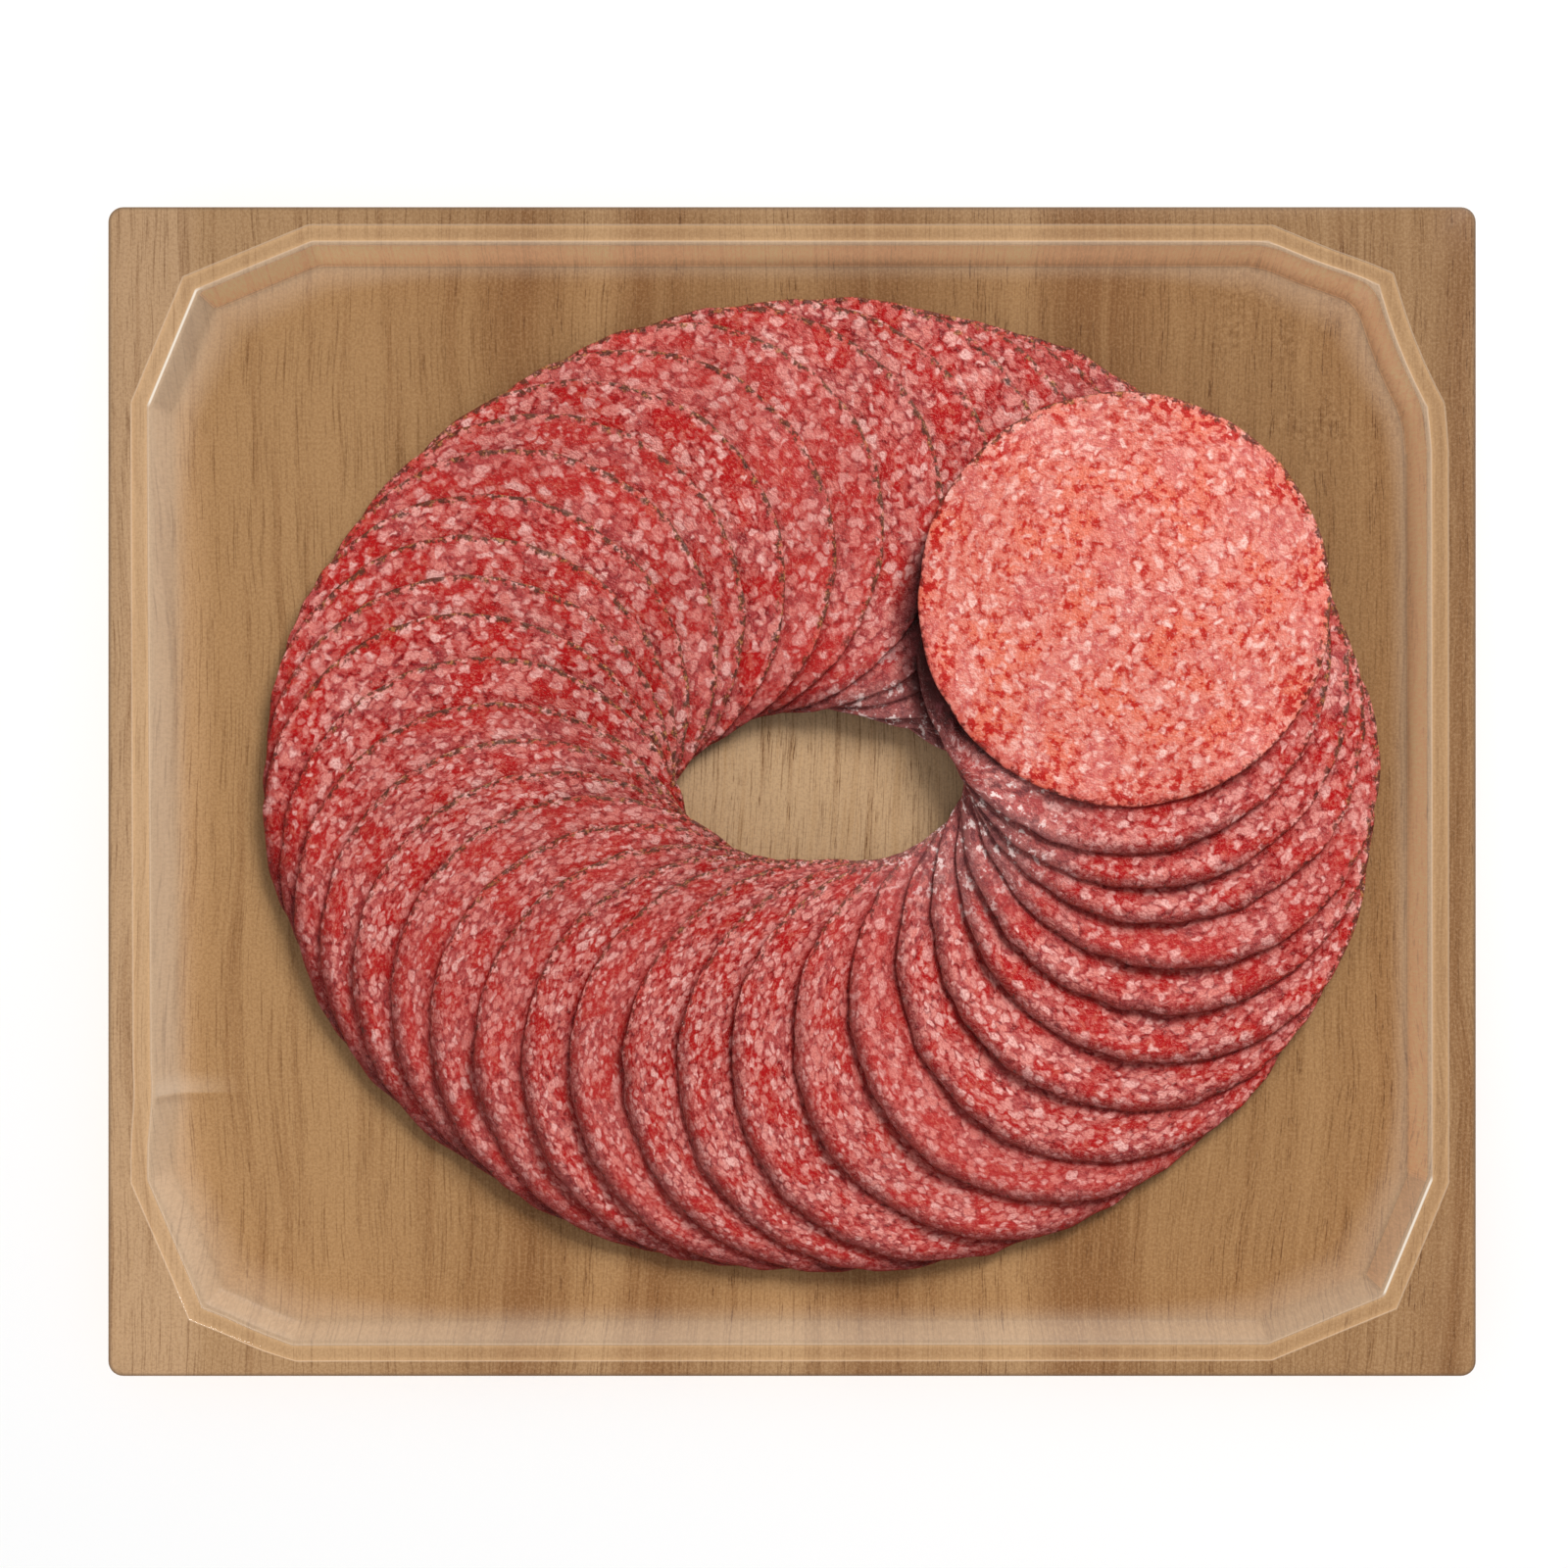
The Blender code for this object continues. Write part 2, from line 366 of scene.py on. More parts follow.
woodLook = {
    # the broad bands across the pack, from left to right in millimetres, and the print's colours
    "bands": ((-124, "bright"), (-113, "bright"), (-109, "pale"), (-84, "pale"),
              (-62, "mid"), (-52, "dark"), (-45, "mid"), (-38, "pale"), (-31, "dark"),
              (-18, "mid"), (-5, "pale"), (10, "dark"), (24, "mid"), (38, "pale"),
              (46, "dark"), (56, "dark"), (66, "mid"), (90, "mid"), (112, "mid"), (118, "dark"),
              (123, "pale")),
    "bright": (0.520, 0.325, 0.178, 1),
    "pale": (0.428, 0.252, 0.122, 1),
    "mid": (0.345, 0.190, 0.085, 1),
    "dark": (0.258, 0.122, 0.048, 1),
    "streak": (0.160, 0.068, 0.022, 1),
    "pore": (0.120, 0.046, 0.015, 1),
    "hollow": (0.98, 0.93, 0.82, 1),  # painted shade: darkens the print inside the hollow, away from its edge
    "middle": (0.62, 0.43, 0.275, 1),  # and paler in the ring's open middle
    "seal": (0.80, 0.50, 0.26, 1),
    "milkAndHighlight": (0.74, 0.57, 0.42, 1),
    "through": (2.35, 1.90, 1.56, 1),  # lightens the walls that turn from the key light
    "lightFrom": (0.39, 0.62, 0.68),  # where the key light stands
    "wallShade": 0.22,  # how much of its slope the wall is shaded by
    "glint": (0.98, 0.90, 0.78, 1),
    "rim": (0.16, 0.105, 0.065, 1),
}


def woodPrint():
    # printed film: straight grain along the pack's shorter side, in tans that drift across it
    material, tree, shader = newMaterial("woodPrint")
    place = addNode(tree, "TexCoord").outputs["Object"]
    flat = scaled(tree, place, (1000.0, 1000.0, 0.0))
    parts = addNode(tree, "SeparateXYZ", links={0: flat}).outputs
    # the grain wanders a little, and leans where a knot lay near
    drift = noise(tree, scaled(tree, flat, (0.014, 0.016, 0.0), place=(4.0, 2.0, 0.0)), 1.0, 2.0, 0.5)
    leaning = product(tree, ramp(tree, parts[0], 50.0, 84.0), ramp(tree, parts[1], -30.0, -70.0))
    lean = product(tree, leaning, math1(tree, "ADD", parts[1], 70.0), -0.07)
    aside = math1(tree, "ADD", math1(tree, "MULTIPLY_ADD", drift, 6.0, parts[0]), lean)
    grain = addNode(tree, "CombineXYZ", links={0: aside, 1: parts[1]}).outputs[0]
    across = ramp(tree, math1(tree, "ADD", aside, -6.0), -124.0, 124.0, smooth=False)
    bands = addNode(tree, "ValToRGB", links={0: across})
    stops = bands.color_ramp.elements
    for i, (at, tone) in enumerate(woodLook["bands"]):
        stop = stops[i] if i < 2 else stops.new((at + 124) / 248)
        stop.position = (at + 124) / 248
        stop.color = woodLook[tone]
    colour = bands.outputs["Color"]
    fromMiddle = addNode(tree, "VectorMath", operation="LENGTH", links={0: scaled(
        tree, flat, (1.0, 1.45, 0.0), place=(-5.0, -2.0, 0.0)
    )}).outputs["Value"]
    normal = addNode(tree, "NewGeometry").outputs["Normal"]
    upward = addNode(tree, "SeparateXYZ", links={0: normal}).outputs[2]
    paler = product(tree, ramp(tree, fromMiddle, 52.0, 30.0, 0.0, 0.85), ramp(tree, upward, -0.1, 0.1))
    colour = mixColour(tree, paler, colour, woodLook["middle"])
    slow = noise(tree, scaled(tree, grain, (0.26, 0.010, 1.0), place=(7.0, 3.0, 0.0)), 1.0, 3.0, 0.62)
    fibres = noise(tree, scaled(tree, grain, (2.1, 0.055, 1.0), place=(3.0, 9.0, 0.0)), 1.0, 3.0, 0.7)
    pores = noise(tree, scaled(tree, grain, (2.9, 0.17, 1.0), place=(11.0, 5.0, 0.0)), 1.0, 2.0, 0.65)
    speck = noise(tree, flat, 1.9, 2.0, 0.7)
    colour = mixColour(tree, ramp(tree, slow, 0.52, 0.72, 0.0, 0.45), colour, woodLook["dark"])
    colour = mixColour(tree, ramp(tree, slow, 0.48, 0.30, 0.0, 0.45), colour, woodLook["pale"])
    colour = mixColour(tree, ramp(tree, fibres, 0.52, 0.74, 0.0, 0.6), colour, woodLook["streak"])
    colour = mixColour(tree, ramp(tree, fibres, 0.48, 0.24, 0.0, 0.5), colour, woodLook["pale"])
    poreHere = ramp(tree, slow, 0.46, 0.62, 0.2, 0.9)
    poreHere = product(tree, poreHere, ramp(tree, parts[0], -90.0, -30.0, 0.35, 1.0))  # few at the left
    dash = product(tree, ramp(tree, pores, 0.58, 0.70), poreHere)
    colour = mixColour(tree, dash, colour, woodLook["pore"])
    colour = mixColour(tree, ramp(tree, speck, 0.40, 0.70, 0.0, 0.24), colour, woodLook["streak"])
    colour = mixColour(tree, ramp(tree, speck, 0.55, 0.28, 0.0, 0.26), colour, woodLook["bright"])
    # crumbled print near two of the corners, where the sheet was drawn the furthest
    crumbs = noise(tree, flat, 0.85, 3.0, 0.8)
    clusters = noise(tree, scaled(tree, flat, (0.13, 0.07, 0.0)), 1.0, 1.0, 0.5)
    clusters = ramp(tree, clusters, 0.42, 0.60, 0.15, 1.0)
    farRight = product(tree, ramp(tree, parts[0], 66.0, 88.0), ramp(tree, parts[1], 46.0, 68.0))
    nearLeft = product(tree, ramp(tree, parts[0], -84.0, -100.0), ramp(tree, parts[1], -70.0, -84.0))
    drawn = ramp(tree, addNode(tree, "Attribute", attribute_name="inside").outputs["Fac"], 0.0, 0.001)
    crumbled = product(tree, math1(tree, "MAXIMUM", farRight, nearLeft), drawn, clusters)
    darker = ramp(tree, crumbs, 0.48, 0.70, 0.0, 0.42)
    paler = ramp(tree, crumbs, 0.50, 0.32, 0.0, 0.34)
    colour = mixColour(tree, product(tree, crumbled, darker), colour, woodLook["streak"])
    colour = mixColour(tree, product(tree, crumbled, paler), colour, woodLook["bright"])
    # painted light falloff: the print is lighter towards the bottom and darker towards the top
    tone = ramp(tree, parts[1], -100.0, 104.0, 1.05, 0.88, smooth=False)
    colour = mixColour(tree, 1.0, colour, tone, "MULTIPLY")
    colour = sealAndWall(tree, colour, parts, speck)
    tree.links.new(colour, shader.inputs["Base Color"])
    tree.links.new(softWall(tree), shader.inputs["Normal"])
    shader.inputs["Roughness"].default_value = 0.4
    shader.inputs["Specular IOR Level"].default_value = 0.15
    return material


def sealAndWall(tree, colour, parts, speck):
    # the film sealed on the flange, the sheet stretched thin on the wall, and the cut edge
    inside = addNode(tree, "Attribute", attribute_name="inside").outputs["Fac"]
    inMm = math1(tree, "MULTIPLY", inside, 1000.0)
    seal = trayLook["sealWidth"] * 1000
    onSeal = product(tree, ramp(tree, inMm, -seal - 0.1, -seal + 0.1), ramp(tree, inMm, 0.1, -0.1))
    fromMiddle = math1(tree, "ABSOLUTE", math1(tree, "ADD", inMm, seal / 2))
    strength = ramp(tree, fromMiddle, seal * 0.15, seal * 0.5, 0.20, 0.42)
    colour = mixColour(tree, product(tree, onSeal, strength), colour, woodLook["seal"])
    sideways = math1(tree, "ABSOLUTE", parts[0])
    upDown = math1(tree, "ABSOLUTE", parts[1])
    cornerward = math1(tree, "MULTIPLY_ADD", upDown, 1.15, sideways)
    fade = ramp(tree, cornerward, 170.0, 215.0, 6.5, 15.0)
    # painted shade over the hollow, away from its edge
    hollowShade = mixColour(tree, 1.0, colour, woodLook["hollow"], "MULTIPLY")
    colour = mixColour(tree, ramp(tree, inMm, 2.5, 8.0), colour, hollowShade)
    onWall = ramp(tree, inMm, -0.05, 0.15)
    steep = product(tree, onWall, ramp(tree, inMm, 5.2, 1.6, 0.0, 0.34))
    beyond = product(tree, onWall, ramp(tree, inMm, 2.0, fade, 0.24, 0.0))
    colour = mixColour(tree, math1(tree, "MAXIMUM", steep, beyond), colour, woodLook["milkAndHighlight"])
    # painted light: the walls that turn from the key light are given a lighter colour, standing in for
    # light through the thin sheet
    normal = addNode(tree, "NewGeometry").outputs["True Normal"]
    facing = addNode(tree, "VectorMath", operation="DOT_PRODUCT", links={0: normal})
    facing.inputs[1].default_value = woodLook["lightFrom"]
    upward = addNode(tree, "SeparateXYZ", links={0: normal}).outputs[2]
    turned = ramp(tree, facing.outputs["Value"], 0.22, -0.28)
    turned = product(tree, turned, onWall, ramp(tree, upward, 0.05, 0.15))  # not the underside
    brighter = addNode(tree, "MixRGB", blend_type="MULTIPLY", use_clamp=True, links={0: turned, 1: colour})
    brighter.inputs[2].default_value = woodLook["through"]
    colour = foldMarks(tree, brighter.outputs[0], parts)
    # painted highlights: pale lines along both edges of the seal
    outerLine = ramp(tree, math1(tree, "ABSOLUTE", math1(tree, "ADD", inMm, seal)), 0.2, 0.05)
    innerLine = ramp(tree, math1(tree, "ABSOLUTE", inMm), 0.22, 0.08)
    colour = mixColour(tree, product(tree, outerLine, 0.35), colour, woodLook["milkAndHighlight"])
    colour = mixColour(tree, product(tree, innerLine, 0.4), colour, woodLook["milkAndHighlight"])
    # painted highlight along the hollow's edge on the steep facets of two opposite corners
    opposite = ramp(tree, product(tree, parts[0], parts[1]), -5000.0, -5600.0)
    steep = product(tree, ramp(tree, upDown, 69.5, 70.8), ramp(tree, upDown, 91.6, 90.6))
    creaseLine = ramp(tree, math1(tree, "ABSOLUTE", math1(tree, "ADD", inMm, -0.1)), 0.32, 0.10)
    colour = mixColour(tree, product(tree, opposite, steep, creaseLine, 0.7), colour, woodLook["glint"])
    # the cut edge, from the corners' rounding
    radius = trayLook["cornerRadius"] * 1000
    past = [
        math1(tree, "ADD", side, radius - half * 1000)
        for side, half in ((sideways, trayHigh.x), (upDown, trayHigh.y))
    ]
    round2 = [math1(tree, "POWER", math1(tree, "MAXIMUM", value, 0.0), 2.0) for value in past]
    corner = math1(tree, "SQRT", math1(tree, "ADD", *round2))
    within = math1(tree, "MINIMUM", math1(tree, "MAXIMUM", *past), 0.0)
    edge = math1(tree, "ADD", corner, within)
    darker = ramp(tree, edge, radius - 0.75, radius - 0.05, 0.0, 0.7)
    return mixColour(tree, darker, colour, woodLook["rim"])


def softWall(tree):
    # the thin sheet lets light through, so its wall is shaded only a little
    inside = addNode(tree, "Attribute", attribute_name="inside").outputs["Fac"]
    flatter = ramp(tree, inside, 0.0, 0.0004, 1.0, woodLook["wallShade"])
    shares = addNode(tree, "CombineXYZ", links={0: flatter, 1: flatter})
    shares.inputs[2].default_value = 1.0
    normal = addNode(tree, "NewGeometry").outputs["Normal"]
    normal = addNode(tree, "VectorMath", operation="MULTIPLY", links={0: normal, 1: shares.outputs[0]})
    return addNode(tree, "VectorMath", operation="NORMALIZE", links={0: normal.outputs[0]}).outputs[0]


def foldMarks(tree, colour, parts):
    # the pinched fold: the stretched sheet above its crease carries a milky painted highlight, and painted
    # shade lies below it
    foldX, foldY = (value * 1000 for value in trayLook["fold"]["place"])
    above = math1(tree, "ADD", parts[1], -foldY)
    along = ramp(tree, parts[0], foldX + trayLook["fold"]["length"] * 1000, foldX)
    foldHighlight = product(tree, ramp(tree, above, 0.0, 0.5), ramp(tree, above, 5.0, 1.0), along)
    shaded = product(tree, ramp(tree, above, 0.1, -0.3), ramp(tree, above, -2.2, -0.4), along)
    here = ramp(tree, parts[0], foldX - 1.0, foldX)
    colour = mixColour(tree, product(tree, foldHighlight, here, 0.34), colour, woodLook["milkAndHighlight"])
    return mixColour(tree, product(tree, shaded, here, 0.20), colour, woodLook["streak"])


tray = makeTray()
tray.data.materials.append(woodPrint())
finishPiece(tray, "printed_film", "tray")
tray.visible_shadow = False  # its low wall would only throw a hard line over its own floor
print("tray made")


# the slices, each one draped over those below it

sliceLook = {
    "around": 288,
    "ringSteps": (0.0003, 0.0004, 0.0006, 0.0007, 0.0008, 0.0008, 0.0009, 0.0009, 0.001, 0.001,
                  0.0011, 0.0012, 0.0013, 0.0015, 0.0017, 0.002, 0.0023, 0.0027, 0.003, 0.0033, 0.0036),
    "underSteps": (0.0004, 0.004, 0.01, 0.012),
    "thickness": 0.00084,
    "rimBulge": 0.00018,
    "uneven": 0.00009,  # how far the rim strays
    "curl": 0.0011,  # how far an open rim lifts
    "lightSide": (0.53, 0.85),  # the key light's side: rims on the other side get painted shade, rims on this side painted light
    "topShadowSide": (-0.95, -0.31),  # the top slice stands off the others on this side, and its painted shadow falls there
    "puckerAt": (0.0296, 0.0031),  # where the slices are pinched together beside the open middle
    "puckerReach": 0.030,
    "puckerHeight": 0.00030,
    "puckerWaves": ((7, 0.4, 0.8), (11, 1.9, 1.0), (17, 4.0, 0.8), (26, 2.6, 0.6)),  # count, turn and share
    "seed": 11,
}


def middleOf(node):
    low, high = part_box(node)
    return np.array(((low.x + high.x) / 2, (low.y + high.y) / 2))


centres = [middleOf(node) for node in sliceNodes]
lowCorner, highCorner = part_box(sliceNodes[0])
sliceRadius = (highCorner.x - lowCorner.x) / 2


def plainSlice():
    # a flat slice at the origin, fine near its rim, where it shows between its neighbours
    deselectAll()
    thickness = sliceLook["thickness"]
    bpy.ops.mesh.primitive_circle_add(
        vertices=sliceLook["around"], radius=sliceRadius, fill_type="NGON", location=(0, 0, -thickness / 2)
    )
    piece = bpy.context.object
    piece.name = "plain_slice"
    bpy.ops.object.mode_set(mode="EDIT")
    bpy.ops.mesh.select_all(action="SELECT")
    bpy.ops.mesh.normals_make_consistent(inside=False)
    for share, out in ((0.25, 1.0), (0.5, 0.0), (0.25, -1.0)):
        bpy.ops.mesh.extrude_region_move(TRANSFORM_OT_translate={"value": (0, 0, thickness * share)})
        grow = 1 + out * sliceLook["rimBulge"] / sliceRadius
        bpy.ops.transform.resize(value=(grow, grow, 1))
    for step in sliceLook["ringSteps"]:
        bpy.ops.mesh.inset(thickness=step)
    bpy.ops.mesh.poke()
    bpy.ops.object.mode_set(mode="OBJECT")
    selectOnly(piece, "FACE", lambda face: len(face.vertices) > 4)  # the underside
    for step in sliceLook["underSteps"]:
        bpy.ops.mesh.inset(thickness=step)
    bpy.ops.mesh.poke()
    bpy.ops.object.mode_set(mode="OBJECT")
    bpy.ops.object.transform_apply(location=True, rotation=True, scale=True)
    cleanNormals(piece)
    bpy.ops.object.shade_smooth_by_angle(angle=math.radians(50))
    return piece


def bend(distances):
    return distances**2 * np.log(distances + 1e-9)


def drapedOn(node, places):
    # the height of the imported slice's middle at each place, through a thin bent plate
    corners = np.array([corner.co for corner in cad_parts[node].data.vertices])
    spots, which = np.unique(corners[:, :2].round(4), axis=0, return_inverse=True)
    top = np.full(len(spots), -1.0)
    bottom = np.full(len(spots), 1.0)
    np.maximum.at(top, which.ravel(), corners[:, 2])
    np.minimum.at(bottom, which.ravel(), corners[:, 2])
    spread = np.linalg.norm(spots[:, None] - spots[None], axis=2)
    flat = np.column_stack((np.ones(len(spots)), spots))
    system = np.block([[bend(spread), flat], [flat.T, np.zeros((3, 3))]])
    weights = np.linalg.solve(system, np.concatenate(((top + bottom) / 2, np.zeros(3))))
    reach = np.linalg.norm(places[:, None] - spots[None], axis=2)
    return bend(reach) @ weights[:-3] + np.column_stack((np.ones(len(places)), places)) @ weights[-3:]


def strayOutline(chance, share):
    # waves of many lengths round the rim: how far it strays from a circle at each angle
    waves = []
    for count in range(2, 40):
        size = sliceLook["uneven"] * share / math.sqrt(count / 2)
        waves.append((count, chance.gauss(0, size), chance.uniform(0, 2 * math.pi)))
    return waves


def strayAt(waves, angles):
    return sum(size * np.cos(count * angles + turn) for count, size, turn in waves)


def beyondCover(places, number):
    # how far each place lies outside the slice that covers this one
    if number == 1:
        return np.full(len(places), 0.05)
    away = places - centres[number - 2]
    rim = sliceRadius + strayAt(outlines[number - 2], np.arctan2(away[:, 1], away[:, 0]))
    return np.linalg.norm(away, axis=1) - rim


def puckered(places):
    # folds that run out from the pinched place, the same in every slice
    away = places - sliceLook["puckerAt"]
    distance = np.linalg.norm(away, axis=1)
    around = np.arctan2(away[:, 1], away[:, 0]) + 6 * distance
    folds = sum(share * np.sin(count * around + turn) for count, turn, share in sliceLook["puckerWaves"])
    envelope = np.clip(1 - distance / sliceLook["puckerReach"], 0, 1) * np.clip(distance / 0.008, 0, 1)
    return sliceLook["puckerHeight"] * folds * envelope


def facing(away):
    return (away @ sliceLook["lightSide"]) / (np.linalg.norm(away, axis=1) + 1e-6)


def beyondTop(places, number):
    away = places - centres[0]
    distance = np.linalg.norm(away, axis=1)
    if number == 1:
        return np.full(len(places), 0.05)
    # for the painted shadow beside the top slice: only on the side where it stands away from those below
    shaded = np.clip((away @ sliceLook["topShadowSide"]) / (distance + 1e-6) * 1.3 - 0.3, 0, 1)
    return distance - sliceRadius + (1 - shaded) * 0.02


def makeSlice(number, pattern, chance):
    node = sliceNodes[number - 1]
    centre = centres[number - 1]
    piece = pattern.copy()
    piece.data = pattern.data.copy()
    piece.name = "salami_" + node[-2:]
    bpy.context.collection.objects.link(piece)
    points = pointsOf(piece)
    angles = np.arctan2(points[:, 1], points[:, 0])
    out = np.linalg.norm(points[:, :2], axis=1) / sliceRadius
    outlines.append(strayOutline(chance, 0.5 if number == 1 else 1.0))
    stray = strayAt(outlines[-1], angles)
    flat = points[:, :2] * (1 + stray / sliceRadius * np.clip(out, 0, 1) ** 3)[:, None]
    places = flat + centre
    # where the slice before this one doesn't cover it, the rim may lift
    beyond = beyondCover(places, number)
    bare = np.clip(beyond / 0.006, 0, 1)
    lift = np.zeros(len(points))
    for waves in range(1, 9):
        lift += chance.gauss(0, 0.4) * np.cos(waves * angles + chance.uniform(0, 2 * math.pi))
    lift = sliceLook["curl"] * np.clip(0.45 + lift * 0.5, 0, 1.4) * bare * np.clip(out - 0.6, 0, 1) ** 2 * 6
    height = drapedOn(node, places) + lift + points[:, 2]
    if number > 1:
        height += puckered(places)
    setPoints(piece, np.column_stack((places, height)))
    # the pattern: the cut face turned at random, drawn together towards the rim
    turn = chance.uniform(0, 2 * math.pi)
    across = flat @ np.array(((math.cos(turn), math.sin(turn)), (-math.sin(turn), math.cos(turn))))
    downward = max(0.0, -centre[1] / np.linalg.norm(centre))
    drawn = chance.uniform(0.05, 0.20) + 0.45 * downward
    across = across * (1 + drawn * np.clip(out - 0.55, 0, 1) / 0.45)[:, None]
    far = number * 0.31
    pattern = np.column_stack((across + (far, -far), np.zeros(len(across))))
    addAttribute(piece, "cut", "FLOAT_VECTOR", pattern.astype(np.float32))
    toRim = (1 - out) * sliceRadius
    tone = np.full(len(points), chance.random())
    addAttribute(piece, "rims", "FLOAT_VECTOR", np.column_stack((toRim, beyond, tone)).astype(np.float32))
    # how far the own rim and the covering rim face the key light, and how far off the top slice's rim is,
    # for the painted light and shade
    cover = centres[max(number - 2, 0)]
    sides = [facing(places - centre), facing(places - cover), beyondTop(places, number)]
    addAttribute(piece, "sides", "FLOAT_VECTOR", np.column_stack(sides).astype(np.float32))
    return piece


def choppedMeatGroup():
    # lean meat with grains of fat, cut through. Grain is the size of the larger grains in millimetres
    group = bpy.data.node_groups.new("choppedMeat", "ShaderNodeTree")
    face = group.interface
    face.new_socket("Place", in_out="INPUT", socket_type="NodeSocketVector")
    for name, value in (("Grain", 2.6), ("Fat", 0.6), ("Softness", 0.1)):
        socket = face.new_socket(name, in_out="INPUT", socket_type="NodeSocketFloat")
        socket.default_value = value
    for name in ("Large", "Small", "Tone", "Mottle", "Redness", "Fine", "Height"):
        face.new_socket(name, in_out="OUTPUT", socket_type="NodeSocketFloat")
    given = group.nodes.new("NodeGroupInput").outputs
    put = group.nodes.new("NodeGroupOutput").inputs
    warp = noise(group, given["Place"], 0.42, 1.0, 0.5, "Color")
    moved = addNode(group, "VectorMath", operation="MULTIPLY_ADD", links={0: warp, 2: given["Place"]})
    moved.inputs[1].default_value = (2.6, 2.6, 0.0)
    fine = noise(group, given["Place"], 1.5, 2.0, 0.65)
    broad = addNode(group, "SeparateColor", links={0: noise(group, given["Place"], 0.1, 1.0, 0.5, "Color")})
    mottle = noise(group, given["Place"], 0.5, 2.0, 0.6)
    level = math1(group, "MULTIPLY_ADD", broad.outputs["Red"], 1.0, -0.5)
    wanted = math1(group, "ADD", given["Fat"], level)
    wanted = math1(group, "ADD", wanted, ramp(group, broad.outputs["Green"], 0.50, 0.60, 0.0, -0.32))
    masks = []
    tones = []
    # three sizes of grain: share of the largest, how many are kept, reach and raggedness
    for share, keep, reachOut, ragged in (
        (1.0, 0.04, 0.33, 0.12), (0.70, 0.05, 0.35, 0.14), (0.46, 0.0, 0.39, 0.22),
    ):
        size = math1(group, "DIVIDE", 1.0 / share, given["Grain"])
        cells = addNode(
            group, "TexVoronoi", voronoi_dimensions="2D", links={"Vector": moved.outputs[0], "Scale": size}
        )
        pick = addNode(group, "SeparateColor", links={0: cells.outputs["Color"]})
        reach = math1(group, "MULTIPLY_ADD", fine, ragged, cells.outputs["Distance"])
        edge = math1(group, "MULTIPLY_ADD", pick.outputs["Green"], 0.24, reachOut)
        grain = ramp(group, reach, edge, math1(group, "SUBTRACT", edge, given["Softness"]))
        here = math1(group, "SUBTRACT", wanted, pick.outputs["Red"])
        masks.append(product(group, grain, ramp(group, here, keep - 0.04, keep + 0.10)))
        tones.append(pick.outputs["Blue"])
    large = math1(group, "MAXIMUM", masks[0], masks[1])
    tone = addNode(group, "Mix", data_type="FLOAT", links={0: masks[0], 2: tones[1], 3: tones[0]})
    tone = addNode(group, "Mix", data_type="FLOAT", links={0: large, 2: tones[2], 3: tone.outputs[0]})
    group.links.new(large, put["Large"])
    group.links.new(masks[2], put["Small"])
    group.links.new(tone.outputs[0], put["Tone"])
    group.links.new(mottle, put["Mottle"])
    group.links.new(broad.outputs["Green"], put["Redness"])
    group.links.new(fine, put["Fine"])
    grit = noise(group, given["Place"], 2.6, 1.0, 0.6)
    group.links.new(math1(group, "MULTIPLY_ADD", grit, 0.6, fine), put["Height"])
    return group


def pinched(tree, colour, mottle, look):
    # painted highlights on the ridges and painted shade in the creases that run out from the pinched place,
    # over a greyish tint
    pinchX, pinchY = (value * 1000 for value in sliceLook["puckerAt"])
    place = addNode(tree, "TexCoord").outputs["Object"]
    away = scaled(tree, place, (1000.0, 1000.0, 0.0), place=(-pinchX, -pinchY, 0.0))
    distance = addNode(tree, "VectorMath", operation="LENGTH", links={0: away}).outputs["Value"]
    parts = addNode(tree, "SeparateXYZ", links={0: away}).outputs
    angle = math1(tree, "ARCTAN2", parts[1], parts[0])
    polar = addNode(tree, "CombineXYZ", links={
        0: math1(tree, "MULTIPLY", angle, 6.0), 1: math1(tree, "MULTIPLY", distance, 0.34),
    }).outputs[0]
    folds = noise(tree, polar, 1.0, 3.0, 0.75)
    near = product(tree, ramp(tree, distance, 34.0, 9.0), ramp(tree, distance, 2.0, 9.0, 0.25, 1.0))
    glintSpots = ramp(tree, mottle, 0.45, 0.58)
    colour = mixColour(tree, product(tree, near, 0.42), colour, look["pinch"])
    creases = product(tree, near, ramp(tree, folds, 0.48, 0.36), 0.8)
    colour = mixColour(tree, creases, colour, look["crease"])
    ridges = product(tree, near, ramp(tree, folds, 0.52, 0.64), glintSpots, 0.9)
    return mixColour(tree, ridges, colour, look["glint"])


